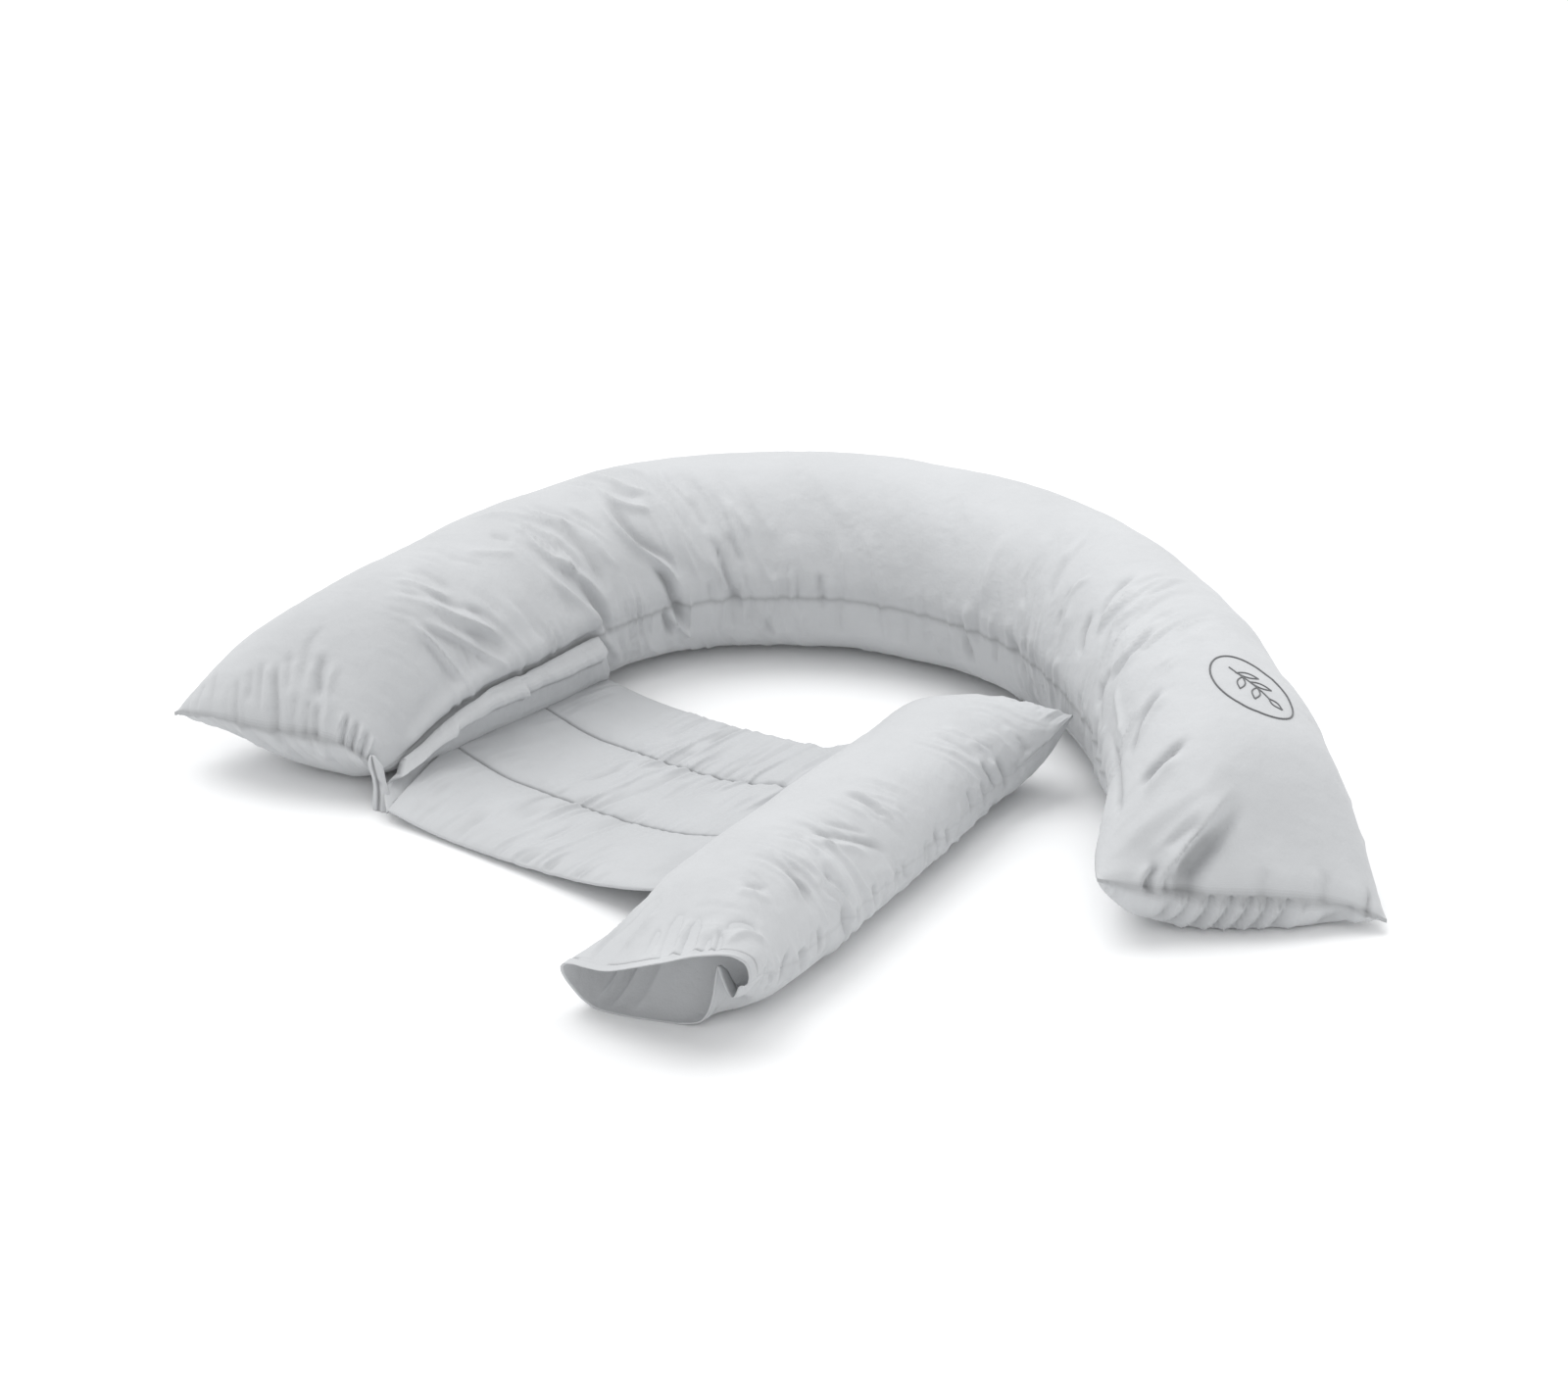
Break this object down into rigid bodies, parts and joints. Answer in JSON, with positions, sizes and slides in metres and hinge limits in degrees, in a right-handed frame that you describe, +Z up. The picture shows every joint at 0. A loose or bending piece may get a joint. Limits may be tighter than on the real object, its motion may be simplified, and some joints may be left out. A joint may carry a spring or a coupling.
{
  "type": "side sleeper body pillow",
  "caption": "Long filled pillow bent into a C, with a quilted panel sewn to its inner side and a small bolster at the panel's other edge.",
  "frame": {"origin": "on the floor, under the middle of the whole pillow's length and depth", "axes": "+X to the right along the C's width, +Y from its open front to its closed back, +Z up from the floor"},
  "size_m": [1.2224, 0.9503, 0.2064],
  "materials": {
    "pillow_cloth": "matt cool pale grey cotton over filling",
    "panel_cloth": "matt cool pale grey cotton, quilted",
    "band_cloth": "matt cool pale grey cotton"
  },
  "bodies": {
    "root": {"main_pillow": "pillow_cloth", "joining_band": "band_cloth", "band_end_tab": "band_cloth", "quilted_panel": "panel_cloth", "bolster": "pillow_cloth"}
  },
  "joints": []
}
